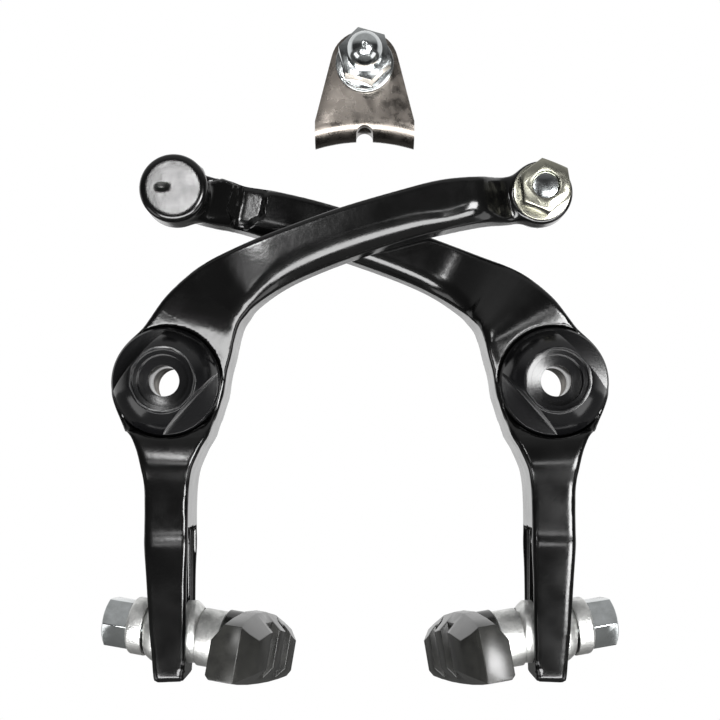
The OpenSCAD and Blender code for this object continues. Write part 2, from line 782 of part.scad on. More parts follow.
// Flanged cap nut with a closed dome
module hanger_nut() {
    from = hanger_face + washer_t;
    flange_t = 1.3;
    dome_from = from + flange_t + cap_nut_h - cap_r;
    color("#babcb8")
    at_hanger()
    difference() {
        union() {
            bar(washer_d / 2 - 0.3, from, from + flange_t);
            rotate([0, 16, 0])
                hex_bar(nut_af, from + flange_t / 2, from + flange_t + cap_hex_h);
            facing() rotate_extrude()
                polygon([[0, from], [cap_r, from], [cap_r, dome_from],
                         for (a = [15 : 15 : 90])
                             [cap_r * cos(a), dome_from + cap_r * sin(a)]]);
        }
        bar(bolt_d / 2, from - eps, from + 5.2);
    }
}

front_arm();
bush(false);  // front_arm_bush
spring(false);  // front_return_spring
tension_nut(false);  // left_tension_nut
anchor_bolt();
anchor_clamp_washer();
anchor_front_washer();
anchor_nut();
rear_arm();
bush(true);  // rear_arm_bush
spring(true);  // rear_return_spring
tension_nut(true);  // right_tension_nut
pad(false);  // left_pad
pad_stud(false);  // left_pad_stud
pad_nut(false);  // left_pad_nut
dome_washer(false, 1, inner_ball_r, inner_dome_d);  // left_inner_dome_washer
cup_washer(false, 1, inner_ball_r, pad_standoff);  // left_inner_cup_washer
dome_washer(false, -1, outer_ball_r, outer_dome_d);  // left_outer_dome_washer
cup_washer(false, -1, outer_ball_r, nut_standoff);  // left_outer_cup_washer
pad(true);  // right_pad
pad_stud(true);  // right_pad_stud
pad_nut(true);  // right_pad_nut
dome_washer(true, 1, inner_ball_r, inner_dome_d);  // right_inner_dome_washer
cup_washer(true, 1, inner_ball_r, pad_standoff);  // right_inner_cup_washer
dome_washer(true, -1, outer_ball_r, outer_dome_d);  // right_outer_dome_washer
cup_washer(true, -1, outer_ball_r, nut_standoff);  // right_outer_cup_washer
hanger_plate();
hanger_bolt();
hanger_washer();
hanger_nut();
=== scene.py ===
"""Looks of a centre-crossing bicycle U-brake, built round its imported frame.

Lengths are in metres in the scene and in millimetres in the property groups.
Front is toward -Y. The pivots lie on Z = 0, HALF_SPAN to each side of X = 0.
"""

import json
import math

import bmesh
import bpy
import numpy as np
from mathutils import Matrix, Vector


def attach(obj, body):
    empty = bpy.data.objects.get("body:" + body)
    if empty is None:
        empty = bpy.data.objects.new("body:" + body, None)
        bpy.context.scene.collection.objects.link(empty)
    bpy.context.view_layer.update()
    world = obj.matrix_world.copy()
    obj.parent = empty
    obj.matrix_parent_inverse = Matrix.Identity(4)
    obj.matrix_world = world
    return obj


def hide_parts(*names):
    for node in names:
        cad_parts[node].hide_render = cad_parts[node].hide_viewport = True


bl_info = {
    "name": "U-brake looks",
    "version": (1, 0, 0),
    "blender": (4, 5, 0),
    "location": "View3D > Sidebar > U-brake",
    "description": "Dresses a bicycle U-brake with cast arms, pads, nuts and finishes",
    "category": "Object",
}

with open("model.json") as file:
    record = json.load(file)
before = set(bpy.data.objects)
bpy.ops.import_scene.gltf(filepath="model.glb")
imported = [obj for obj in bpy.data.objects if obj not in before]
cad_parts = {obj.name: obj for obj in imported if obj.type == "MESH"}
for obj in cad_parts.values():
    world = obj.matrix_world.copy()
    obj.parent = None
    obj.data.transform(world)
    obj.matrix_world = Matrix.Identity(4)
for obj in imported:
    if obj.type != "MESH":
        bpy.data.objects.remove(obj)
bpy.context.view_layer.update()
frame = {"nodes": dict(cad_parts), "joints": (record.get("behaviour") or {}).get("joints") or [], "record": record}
MM = 0.001


def joint(name):
    """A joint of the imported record."""
    for j in frame["joints"]:
        if j["name"] == name:
            return j
    raise RuntimeError("the record has no joint " + name)


# Pivot to the middle, centre of the left pad's ball washers and its stud's direction
HALF_SPAN = abs(joint("rear_arm_pivot")["pos_m"][0]) / MM
BALL = Vector(joint("left_pad_toe")["pos_m"]) / MM
STUD_AXIS = Vector(joint("left_pad_swivel")["axis"])


# Colours

def hex_linear(text):
    """Linear RGBA of an sRGB colour written as six hex digits."""
    parts = [int(text[i:i + 2], 16) / 255 for i in (0, 2, 4)]
    line = [c / 12.92 if c <= 0.04045 else ((c + 0.055) / 1.055) ** 2.4 for c in parts]
    return (*line, 1.0)


# Materials

def add_node(tree, kind, links=(), **settings):
    """Adds a node; settings are its properties or input values, links its wires."""
    made = tree.nodes.new(kind)
    for key, value in settings.items():
        if hasattr(made, key):
            setattr(made, key, value)
        else:
            made.inputs[key.replace("_", " ")].default_value = value
    for socket, source in links:
        tree.links.new(source, made.inputs[socket])
    return made


def new_material(name, **shader):
    """A material with one Principled shader; returns material, tree and shader."""
    mat = bpy.data.materials.new(name)
    mat.use_nodes = True
    tree = mat.node_tree
    bsdf = tree.nodes["Principled BSDF"]
    for key, value in shader.items():
        bsdf.inputs[key.replace("_", " ")].default_value = value
    return mat, tree, bsdf


def object_coords(tree):
    """Coordinates that stay with the piece when it moves."""
    return add_node(tree, "ShaderNodeTexCoord").outputs["Object"]


def noise(tree, coords, size_mm, detail=3.0, roughness=0.5):
    """Noise whose features are about size_mm across."""
    return add_node(tree, "ShaderNodeTexNoise", [("Vector", coords)],
                    Scale=1000.0 / size_mm, Detail=detail, Roughness=roughness)


def ramp(tree, source, low, high, from_min=0.35, from_max=0.65):
    """Maps a value's middle range to low..high."""
    made = add_node(tree, "ShaderNodeMapRange", [("Value", source)])
    made.inputs["From Min"].default_value = from_min
    made.inputs["From Max"].default_value = from_max
    made.inputs["To Min"].default_value = low
    made.inputs["To Max"].default_value = high
    return made.outputs["Result"]


def mix_colours(tree, factor, first, second):
    """Blend of two sRGB hex colours."""
    made = add_node(tree, "ShaderNodeMix", data_type="RGBA")
    tree.links.new(factor, made.inputs["Factor"])
    made.inputs[6].default_value = hex_linear(first)
    made.inputs[7].default_value = hex_linear(second)
    return made.outputs[2]


def bump(tree, bsdf, height, depth_mm):
    """Relief too fine for the mesh."""
    made = add_node(tree, "ShaderNodeBump", [("Height", height)],
                    Strength=1.0, Distance=depth_mm * MM)
    tree.links.new(made.outputs["Normal"], bsdf.inputs["Normal"])


def gloss_black_paint():
    """Stoved gloss enamel on a forged aluminium arm: a deep black, sharp
    highlights and a fine orange peel."""
    mat, tree, bsdf = new_material(
        "gloss_black_enamel", IOR=1.5, Base_Color=hex_linear("070707"))
    coords = object_coords(tree)
    peel = noise(tree, coords, 1.3, 3.0, 0.6).outputs["Fac"]
    bump(tree, bsdf, peel, 0.014)
    tree.links.new(ramp(tree, noise(tree, coords, 6.0).outputs["Fac"], 0.12, 0.18),
                   bsdf.inputs["Roughness"])
    return mat


def black_nut_paint():
    """Gloss paint on a machined tension nut, a little greyer than the arms."""
    mat, tree, bsdf = new_material(
        "painted_tension_nut", Roughness=0.17, IOR=1.5, Base_Color=hex_linear("0c0c0d"))
    coords = object_coords(tree)
    bump(tree, bsdf, noise(tree, coords, 0.6, 3.0).outputs["Fac"], 0.008)
    return mat


def plated_steel(name, light, dark, grain_mm, depth_mm, rough, spread=0.08):
    """Metal between two colours, mottled by the bath; rough is its mean roughness
    and spread how far the mottling moves it."""
    mat, tree, bsdf = new_material(name, Metallic=1.0)
    coords = object_coords(tree)
    mottle = noise(tree, coords, 2.5, 4.0, 0.6).outputs["Fac"]
    tree.links.new(mix_colours(tree, ramp(tree, mottle, 0.0, 1.0), light, dark),
                   bsdf.inputs["Base Color"])
    tree.links.new(ramp(tree, mottle, rough - spread, rough + spread),
                   bsdf.inputs["Roughness"])
    bump(tree, bsdf, noise(tree, coords, grain_mm, 3.0).outputs["Fac"], depth_mm)
    return mat


def zinc_plate():
    """Bright zinc on turned hardware: cool silver with soft reflections."""
    return plated_steel("bright_zinc_plate", "cdd1d2", "b9bdbd", 0.7, 0.012, 0.15, 0.05)


def yellow_zinc():
    """Pale yellow chromate over zinc: an olive silver."""
    return plated_steel("yellow_zinc_plate", "b4b3a6", "a3a294", 0.7, 0.012, 0.24, 0.05)


def blasted_steel():
    """Sintered washers, shot blasted: a bright, sandy grain that scatters light."""
    return plated_steel("blasted_steel", "e2e2e0", "bcbdbb", 0.36, 0.09, 0.42, 0.05)


def nickel_sheet():
    """Nickel plated sheet, a warm grey, softly mottled."""
    return plated_steel("nickel_plated_sheet", "7f7973", "77716b", 0.6, 0.008, 0.28)


def spring_steel():
    """Drawn music wire with a grey oiled skin."""
    return plated_steel("drawn_spring_wire", "8d9195", "6c7074", 0.5, 0.01, 0.35)


def bush_bronze():
    """Sintered bearing bronze, dark with the oil it is soaked in."""
    return plated_steel("sintered_bronze", "4a3f2d", "392f20", 0.4, 0.02, 0.45)


def brake_rubber():
    """Moulded brake rubber: dark grey, satin, with the bloom of its mould."""
    mat, tree, bsdf = new_material("moulded_brake_rubber", IOR=1.5)
    coords = object_coords(tree)
    bloom = noise(tree, coords, 4.0, 4.0, 0.6).outputs["Fac"]
    tree.links.new(mix_colours(tree, ramp(tree, bloom, 0.0, 1.0), "1d1d1c", "2a2a28"),
                   bsdf.inputs["Base Color"])
    tree.links.new(ramp(tree, bloom, 0.2, 0.26), bsdf.inputs["Roughness"])
    bump(tree, bsdf, noise(tree, coords, 0.5, 3.0).outputs["Fac"], 0.006)
    return mat


# Material of each slot of the record
FINISHES = {
    "black_paint": gloss_black_paint, "black_anodised": black_nut_paint,
    "bronze": bush_bronze, "spring_steel": spring_steel, "zinc": zinc_plate,
    "yellow_zinc": yellow_zinc, "blasted_steel": blasted_steel,
    "brake_rubber": brake_rubber, "nickel_plate": nickel_sheet,
}
made_finishes = {}


def finish(slot):
    """The material of one of the record's slots, made once."""
    if slot not in made_finishes:
        made_finishes[slot] = FINISHES[slot]()
    return made_finishes[slot]


def body_of_node(node):
    """Name of the body that carries a CAD node."""
    for body, nodes in frame["record"]["behaviour"]["bodies"].items():
        if node in nodes:
            return body
    raise RuntimeError("no body holds " + node)


def slot_of_node(node):
    """Material slot of a CAD node."""
    for part in frame["record"]["subparts"]:
        if part["node"] == node:
            return part["material_slot"]
    raise RuntimeError("no subpart is named " + node)


def dress(node):
    """Gives a CAD node its finish, its mesh left as it is."""
    obj = frame["nodes"][node]
    obj.data.materials.clear()
    obj.data.materials.append(finish(slot_of_node(node)))


def adopt(obj, node):
    """A made piece takes the place, body and slot of a CAD node."""
    slot = slot_of_node(node)
    if not obj.data.materials:
        obj.data.materials.append(finish(slot))
    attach(obj, body_of_node(node))
    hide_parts(node)


def link_mesh(name, verts, faces):
    """A new object at the origin from points in metres and faces."""
    mesh = bpy.data.meshes.new(name)
    mesh.from_pydata([tuple(v) for v in verts], [], [tuple(f) for f in faces])
    mesh.validate()
    obj = bpy.data.objects.new(name, mesh)
    bpy.context.scene.collection.objects.link(obj)
    return obj


# Shapes as distance fields: each function takes points (N, 3) in millimetres,
# in the pivot's frame of the left arm, and gives the distance to the surface.

def smooth_min(a, b, k):
    """Union of two fields with a fillet of about k."""
    h = np.clip(0.5 + 0.5 * (b - a) / k, 0, 1)
    return b * (1 - h) + a * h - k * h * (1 - h)


def smooth_max(a, b, k):
    """Intersection of two fields with a rounding of about k."""
    return -smooth_min(-a, -b, k)


def bar_field(p, centre, r, front, back, edge=0.0):
    """Round bar along Y; front and back are depths toward the viewer."""
    radial = np.hypot(p[:, 0] - centre[0], p[:, 2] - centre[1]) - r + edge
    along = np.abs(-p[:, 1] - (front + back) / 2) - (front - back) / 2 + edge
    outside = np.hypot(np.maximum(radial, 0), np.maximum(along, 0))
    return outside + np.minimum(np.maximum(radial, along), 0) - edge


def box_field(p, centre, half):
    """Box from its centre and its half sizes."""
    q = np.abs(p - np.array(centre)) - np.array(half)
    outside = np.linalg.norm(np.maximum(q, 0), axis=1)
    return outside + np.minimum(q.max(axis=1), 0)


def smooth_stations(stations, steps=7):
    """Fine stations on a smooth curve through the given ones."""
    st = np.array(stations, float)
    out = []
    for i in range(len(st) - 1):
        p0, p1 = st[max(i - 1, 0)], st[i]
        p2, p3 = st[i + 1], st[min(i + 2, len(st) - 1)]
        for k in range(steps):
            t = k / steps
            out.append(0.5 * (2 * p1 + (p2 - p0) * t
                              + (2 * p0 - 5 * p1 + 4 * p2 - p3) * t * t
                              + (3 * p1 - p0 - 3 * p2 + p3) * t ** 3))
    out.append(st[-1])
    return np.array(out)


# Planes of the lower front bevel: share of the depth, share of the side, length of both
SHALLOW = (0.55, 0.2, 0.585)
STEEP = (0.45, 0.4, 0.602)


def loft_field(p, st, edge, crown):
    """Distance to a bar swept along fine stations [x, z, half width, front, back,
    bevel], its edges rounded, its faces crowned and its lower front edge bevelled."""
    a, b = st[:-1], st[1:]
    best = np.full(len(p), 1e9)
    pick = np.zeros(len(p), int)
    spot = np.zeros(len(p))
    xz = p[:, [0, 2]]
    for i in range(len(a)):
        d = b[i, :2] - a[i, :2]
        t = ((xz - a[i, :2]) @ d) / (d @ d)
        tc = np.clip(t, 0, 1)
        gap = xz - a[i, :2] - tc[:, None] * d
        near = (gap * gap).sum(1)
        better = near < best
        best[better] = near[better]
        pick[better] = i
        spot[better] = tc[better]
    at = a[pick] + (b[pick] - a[pick]) * spot[:, None]
    d = (b - a)[pick, :2]
    d = d / np.linalg.norm(d, axis=1)[:, None]
    gap = xz - at[:, :2]
    along = np.abs((gap * d).sum(1))
    u = gap[:, 1] * d[:, 0] - gap[:, 0] * d[:, 1]
    half, front, back, bevel = at[:, 2], at[:, 3], at[:, 4], at[:, 5]
    deep = -p[:, 1]
    rise = crown * np.minimum(np.abs(u) / half, 1.3) ** 2
    v = np.abs(deep - (front + back) / 2) - (front - back) / 2 + rise
    qu, qv = np.abs(u) - half + edge, v + edge
    outside = np.sqrt(np.maximum(qu, 0) ** 2 + np.maximum(qv, 0) ** 2
                      + along ** 2)
    body = outside + np.minimum(np.maximum(qu, qv), 0) * (along == 0) - edge
    side = u + half
    into, across, length = SHALLOW
    shallow = (into * (deep - front) - across * (side - bevel)) / length
    into, across, length = STEEP
    steep = (into * (deep - front + 0.2 * bevel) - across * (side - 0.45 * bevel)) / length
    return smooth_max(body, smooth_max(shallow, steep, 0.35), 0.45)


def gradient(field, p, here, step=0.02):
    """Slope of a field at points where its value is here."""
    g = np.zeros_like(p)
    for k in range(3):
        d = np.zeros(3)
        d[k] = step
        g[:, k] = (field(p + d) - here) / step
    return g


def onto_surface(field, p, rounds, most=0.6):
    """Moves points onto the field's zero by a few Newton steps."""
    for _ in range(rounds):
        f = field(p)
        g = gradient(field, p, f)
        size = np.maximum((g * g).sum(1), 0.2)
        p = p - np.clip(f / size, -most, most)[:, None] * g
    return p


def settle(obj, field, to_mm, from_mm, rounds=2):
    """Evens a remeshed skin out and seats every point on the field."""
    mesh = obj.data
    n = len(mesh.vertices)
    co = np.zeros(n * 3)
    mesh.vertices.foreach_get("co", co)
    p = to_mm(co.reshape(-1, 3))
    ends = np.zeros(len(mesh.edges) * 2, int)
    mesh.edges.foreach_get("vertices", ends)
    ends = ends.reshape(-1, 2)
    degree = np.bincount(ends.ravel(), minlength=n)[:, None]
    p = onto_surface(field, p, 3)
    for _ in range(rounds):
        total = np.zeros_like(p)
        for k in range(3):
            total[:, k] = (np.bincount(ends[:, 0], p[ends[:, 1], k], n)
                           + np.bincount(ends[:, 1], p[ends[:, 0], k], n))
        p = p + 0.5 * (total / np.maximum(degree, 1) - p)
        p = onto_surface(field, p, 2)
    mesh.vertices.foreach_set("co", from_mm(p).ravel())
    mesh.update()


def joined_copy(node, name, flat=False):
    """A copy of a CAD node's mesh, its triangles joined and its flats made whole."""
    mesh = frame["nodes"][node].data.copy()
    mesh.materials.clear()
    obj = bpy.data.objects.new(name, mesh)
    bpy.context.scene.collection.objects.link(obj)
    work = bmesh.new()
    work.from_mesh(mesh)
    bmesh.ops.remove_doubles(work, verts=work.verts, dist=0.00001)
    if flat:
        bmesh.ops.dissolve_limit(work, angle_limit=math.radians(0.6),
                                 verts=work.verts, edges=work.edges)
    work.to_mesh(mesh)
    work.free()
    return obj


def apply_all(obj):
    """Turns the object's modifiers into its mesh."""
    graph = bpy.context.evaluated_depsgraph_get()
    mesh = bpy.data.meshes.new_from_object(obj.evaluated_get(graph))
    old = obj.data
    obj.modifiers.clear()
    obj.data = mesh
    bpy.data.meshes.remove(old)
    mesh.name = obj.name


def remeshed_copy(node, name, voxel_mm):
    """A joined, voxel remeshed copy of a CAD node's mesh."""
    obj = joined_copy(node, name)
    mod = obj.modifiers.new("even_skin", "REMESH")
    mod.mode = "VOXEL"
    mod.voxel_size = voxel_mm * MM
    mod.adaptivity = 0
    apply_all(obj)
    return obj


# Edges whose faces meet at more than this angle are rounded, in degrees
ROUNDED_ANGLE = 32.0


def softened(node, width_mm):
    """A copy of a CAD node with rounded edges that catch the light."""
    obj = joined_copy(node, node + "_soft", flat=True)
    mod = obj.modifiers.new("round_edges", "BEVEL")
    mod.width = width_mm * MM
    mod.segments = 3
    mod.limit_method = "ANGLE"
    mod.angle_limit = math.radians(ROUNDED_ANGLE)
    apply_all(obj)
    shade(obj)
    obj.data.set_sharp_from_angle(angle=math.radians(ROUNDED_ANGLE))
    adopt(obj, node)


def shade(obj):
    """Smooth shading on every face."""
    flags = np.full(len(obj.data.polygons), True)
    obj.data.polygons.foreach_set("use_smooth", flags)
    obj.data.update()


class ArmSizes(bpy.types.PropertyGroup):
    """Sizes of the two forged arms."""

    front_reach: bpy.props.FloatProperty(
        name="Front reach", description="Pivot to cable bolt, sideways, in mm", default=80.1)
    front_rise: bpy.props.FloatProperty(
        name="Front rise", description="Cable bolt above the pivot, in mm", default=41.1)
    rear_reach: bpy.props.FloatProperty(
        name="Rear reach", description="Pivot to cable boss, sideways, in mm", default=80.2)
    rear_rise: bpy.props.FloatProperty(
        name="Rear rise", description="Cable boss above the pivot, in mm", default=40.4)
    boss_depth: bpy.props.FloatProperty(
        name="Boss depth", description="Depth of the pivot boss in mm", default=15.8)
    front_face: bpy.props.FloatProperty(
        name="Front face", description="Front of the front arm at the crossing, in mm",
        default=21.0)
    front_back: bpy.props.FloatProperty(
        name="Front arm's back", description="Back of the front arm at the crossing",
        default=11.4)
    rear_face: bpy.props.FloatProperty(
        name="Rear face", description="Front of the rear arm at the crossing, in mm",
        default=10.6)
    rear_back: bpy.props.FloatProperty(
        name="Back", description="Back of the rear arm and of both legs, in mm", default=2.0)
    leg_face: bpy.props.FloatProperty(
        name="Leg face", description="Front of the legs, in mm", default=19.4)
    voxel: bpy.props.FloatProperty(
        name="Skin spacing", description="Distance between skin points in mm",
        default=0.45, min=0.2)


# Centre line of an arm above its pivot, as shares of its reach and rise,
# with half the arm's width at each station in millimetres
ARM_LINE = [
    (0.020, 0.060, 11.0), (0.056, 0.200, 9.8), (0.087, 0.314, 8.75),
    (0.123, 0.409, 7.6), (0.162, 0.477, 6.9), (0.201, 0.528, 6.3),
    (0.270, 0.603, 5.7), (0.353, 0.675, 5.35), (0.484, 0.770, 5.2),
    (0.637, 0.860, 5.1), (0.738, 0.909, 5.15), (0.835, 0.939, 4.75),
    (0.906, 0.964, 4.9), (0.960, 0.985, 5.0),
]


def front_depths(s):
    """Front, back, lower bevel and extra height of the front arm at each station."""
    top, back, boss = s.front_face, s.front_back, s.boss_depth
    return [
        (boss - 0.4, 1.2, 1, 0), (boss + 1.2, 1.8, 1, 0), (top - 2.4, 3, 1, 0),
        (top - 1.4, 5, 1.4, 0), (top - 0.8, 7.5, 1.8, 0), (top - 0.3, 10, 2.2, 0),
        (top, back - 0.2, 3.6, 0), (top, back, 4.2, 0), (top, back, 4.2, 0),
        (top, back, 3.8, 0), (top - 0.2, back, 3, 0), (top - 1, back - 0.8, 3.4, 0),
        (13.9, 8.3, 1, 0), (13.7, 8.3, 1, 0),
    ]


def rear_depths(s):
    """The same for the rear arm."""
    top, back, boss = s.rear_face, s.rear_back, s.boss_depth
    return [
        (boss - 0.4, 1.2, 1, 0), (boss + 1.2, 1.6, 1, 0), (s.leg_face - 1.8, back, 1, 0),
        (top + 6.3, back, 1.2, 0), (top + 4.2, back, 1.6, 0), (top + 2.1, back, 2.2, 0),
        (top + 0.3, back, 2.8, 0), (top, back, 3, 0), (top, back, 3, 0),
        (top, back + 0.4, 3, 0.2), (top + 0.5, back + 0.8, 2.4, 0),
        (top + 2.3, back + 2.2, 2, 0.4), (16.6, 8.4, 1.4, 0.1), (20.4, 12.6, 1.2, 0.1),
    ]


def leg_stations(s):
    """Shift, height, half width, front, back and front bevel of a leg."""
    face, back, boss = s.leg_face, s.rear_back, s.boss_depth
    rows = [
        (2, 0, 11.2, boss - 0.4, 1), (8, 0.5, 10, boss + 0.6, 1.2),
        (10.5, 0.7, 8.8, face - 1, 1.5), (13.5, 0.6, 7.1, face, back),
        (17.5, 0.4, 5.6, face + 0.5, back), (21.5, 0.4, 4.8, face + 0.1, back),
        (26, 0.35, 4.6, face - 0.1, back), (31.5, 0.3, 4.6, face - 0.1, back),
        (35, 0.35, 4.6, face + 0.2, back), (41.5, 0.45, 4.25, face + 0.1, back),
        (52, 0.7, 3.9, face - 0.2, back), (58.2, 0.95, 3.6, face - 0.4, back + 0.2),
        (61, 1.05, 3.5, face - 0.5, back + 0.8), (62.3, 1.1, 3.4, face - 0.6, back + 1.1),
    ]
    return [(shift, -drop, half, front, behind, 0.6)
            for drop, shift, half, front, behind in rows]


# Fixed sizes of the arms in millimetres, as in part.scad
BOSS_R, NUT_ROOM_R, BUSH_R = 12, 11.9, 5.5
SPRING_ROOM_R, BOSS_FLOOR = 9.8, 3.5
HUB_R, HUB_FACE = 7, 15.4
CABLE_BOSS_R, CABLE_BOSS_FACE, CABLE_BOSS_BACK = 7.2, 22, 13.4
BARREL_SEAT_R, BARREL_SEAT_END = 2.6, 19.8
LUG_R, LUG_FACE, LUG_BACK, CABLE_BOLT_R = 6.8, 14, 8, 3.05
SLOT_R, SLOT_TOP, SLOT_BOTTOM = 4, -35, -54.8
LAND_X, LAND_HALF_T, LAND_HALF_W, LAND_TOP = 0.7, 3.3, 7.2, -31
LAND_CUT, LAND_HALF_LEN = 10, 25
THROUGH = 30

# Rounding of the arms' long edges, crown of their faces, fillets between their forms
LONG_EDGE, ARM_CROWN, LEG_CROWN = 0.9, 0.03, 0.05
ARM_FILLET, LEG_FILLET, END_FILLET = 1.4, 1.6, 1.2

# Casting mark on the cable boss: sideways from its centre, half sizes, depth
MARK_X, MARK_HALF, MARK_DEPTH = 2.3, (1.4, 0.13, 0.6), 0.13

# How much wider the last two stations of the rear arm are
REAR_WIDER = ((-2, 0.2), (-1, 0.4))


def arm_field(s, rear):
    """Distance field of an arm, its pivot at the origin, as the left arm."""
    reach, rise = (s.rear_reach, s.rear_rise) if rear else (s.front_reach, s.front_rise)
    depths = rear_depths(s) if rear else front_depths(s)
    line = [(fx * reach, fz * rise + extra, half, front, back, bevel)
            for (fx, fz, half), (front, back, bevel, extra) in zip(ARM_LINE, depths)]
    if rear:
        for i, wider in REAR_WIDER:
            x, z, half, *rest = line[i]
            line[i] = (x, z + 0.5 * wider, half + wider, *rest)
    upper, leg = smooth_stations(line), smooth_stations(leg_stations(s))
    slot_y = (s.leg_face + s.rear_back) / 2

    def field(p):
        boss = bar_field(p, (0, 0), BOSS_R, s.boss_depth, 0, 0.8)
        body = smooth_min(boss, loft_field(p, upper, LONG_EDGE, ARM_CROWN), ARM_FILLET)
        stem = loft_field(p, leg, LONG_EDGE, LEG_CROWN)
        slot = np.minimum(
            box_field(p, (0, -slot_y, (SLOT_TOP + SLOT_BOTTOM) / 2),
                      (THROUGH, SLOT_R, (SLOT_TOP - SLOT_BOTTOM) / 2)),
            np.minimum(rod_x(p, -slot_y, SLOT_TOP, SLOT_R),
                       rod_x(p, -slot_y, SLOT_BOTTOM, SLOT_R)))
        stem = smooth_max(stem, -slot, 0.5)
        for way in (-1, 1):
            land = box_field(
                p, (LAND_X + way * (LAND_HALF_T + LAND_CUT), -slot_y, LAND_TOP - LAND_HALF_LEN),
                (LAND_CUT, LAND_HALF_W, LAND_HALF_LEN))
            stem = smooth_max(stem, -land, 0.4)
        body = smooth_min(body, stem, LEG_FILLET)
        if rear:
            end = bar_field(p, (reach, rise), CABLE_BOSS_R, CABLE_BOSS_FACE,
                            CABLE_BOSS_BACK, 1.3)
        else:
            end = bar_field(p, (reach, rise), LUG_R, LUG_FACE, LUG_BACK, 0.7)
        body = smooth_min(body, end, END_FILLET)
        body = smooth_max(body, -bar_field(p, (0, 0), NUT_ROOM_R, 40, s.boss_depth), 0.3)
        cavity = np.maximum(bar_field(p, (0, 0), SPRING_ROOM_R, 20, BOSS_FLOOR),
                            -bar_field(p, (0, 0), HUB_R, HUB_FACE, -5))
        body = np.maximum(body, -cavity)
        body = np.maximum(body, -bar_field(p, (0, 0), BUSH_R, THROUGH, -5))
        if rear:
            body = np.maximum(
                body, -bar_field(p, (reach, rise), BARREL_SEAT_R, BARREL_SEAT_END, -5))
            body = np.maximum(body, -cable_slot(p, reach, rise))
            q = (p - np.array([reach + MARK_X, -CABLE_BOSS_FACE, rise])) / np.array(MARK_HALF)
            mark = MARK_DEPTH * (1 - np.linalg.norm(q, axis=1))
            body = smooth_max(body, mark, 0.08)
        else:
            body = np.maximum(
                body, -bar_field(p, (reach, rise), CABLE_BOLT_R, THROUGH, 0))
        return body

    return field


# The straddle cable's slot: its turn in degrees, half length, depth of its middle,
# half depth and half width
CABLE_SLOT = (26, 7.2, 16.5, 3.3, 1.1)


def cable_slot(p, reach, rise):
    """The slot that the straddle cable leaves the rear arm's boss by."""
    degrees, half_len, middle, half_deep, half_wide = CABLE_SLOT
    turn = math.radians(degrees)
    x, z = p[:, 0] - reach, p[:, 2] - rise
    q = np.stack([x * math.cos(turn) - z * math.sin(turn), p[:, 1],
                  x * math.sin(turn) + z * math.cos(turn)], 1)
    return box_field(q, (-half_len, -middle, 0), (half_len, half_deep, half_wide))


def rod_x(p, y, z, r):
    """Round bar along X."""
    return np.hypot(p[:, 1] - y, p[:, 2] - z) - r


def build_arm(node, s, rear):
    """A smooth forged skin over an arm, seated on its distance field."""
    way = -1 if rear else 1
    field = arm_field(s, rear)

    def to_mm(co):
        p = co / MM
        return np.stack([way * p[:, 0] + HALF_SPAN, p[:, 1], p[:, 2]], 1)

    def from_mm(p):
        return np.stack([way * (p[:, 0] - HALF_SPAN), p[:, 1], p[:, 2]], 1) * MM

    voxel = s.voxel
    obj = remeshed_copy(node, node + "_skin", voxel)
    settle(obj, field, to_mm, from_mm)
    shade(obj)
    adopt(obj, node)


class UBRAKE_OT_arms(bpy.types.Operator):
    """Builds the two forged arms."""

    bl_idname = "ubrake.arms"
    bl_label = "Forged arms"

    def execute(self, context):
        s = context.scene.ubrake_arms
        build_arm("front_arm", s, False)
        build_arm("rear_arm", s, True)
        return {"FINISHED"}


def lathe_rows(profile, steps=48):
    """Points and faces of a profile [radius, place] turned about Z."""
    n = len(profile)
    verts = [(r * math.cos(2 * math.pi * k / steps), r * math.sin(2 * math.pi * k / steps), z)
             for k in range(steps) for r, z in profile]
    faces = []
    for k in range(steps):
        a, b = k * n, (k + 1) % steps * n
        faces += [(a + i, b + i, b + i + 1, a + i + 1) for i in range(n - 1)]
    return verts, faces


def ridge_group():
    """Node group that sets a row of thread ridges along Z."""
    group = bpy.data.node_groups.new("thread_ridges", "GeometryNodeTree")
    face = group.interface
    face.new_socket("Geometry", in_out="OUTPUT", socket_type="NodeSocketGeometry")
    for name, kind in (("Count", "Int"), ("Pitch", "Float"), ("Radius", "Float"),
                       ("Ridge", "Float"), ("Material", "Material")):
        face.new_socket(name, in_out="INPUT", socket_type="NodeSocket" + kind)
    given = group.nodes.new("NodeGroupInput").outputs
    step = add_node(group, "ShaderNodeCombineXYZ", [("Z", given["Pitch"])])
    line = add_node(group, "GeometryNodeMeshLine", [("Count", given["Count"]),
                                                    ("Offset", step.outputs[0])])
    ring = add_node(group, "GeometryNodeCurvePrimitiveCircle",
                    [("Radius", given["Radius"])], Resolution=48)
    edge = add_node(group, "GeometryNodeCurvePrimitiveCircle",
                    [("Radius", given["Ridge"])], Resolution=6)
    ridge = add_node(group, "GeometryNodeCurveToMesh", [("Curve", ring.outputs["Curve"]),
                                                        ("Profile Curve", edge.outputs["Curve"])])
    row = add_node(group, "GeometryNodeInstanceOnPoints", [("Points", line.outputs["Mesh"]),
                                                           ("Instance", ridge.outputs["Mesh"])])
    real = add_node(group, "GeometryNodeRealizeInstances",
                    [("Geometry", row.outputs["Instances"])])
    done = add_node(group, "GeometryNodeSetMaterial",
                    [("Geometry", real.outputs["Geometry"]), ("Material", given["Material"])])
    out = group.nodes.new("NodeGroupOutput")
    group.links.new(done.outputs["Geometry"], out.inputs["Geometry"])
    return group


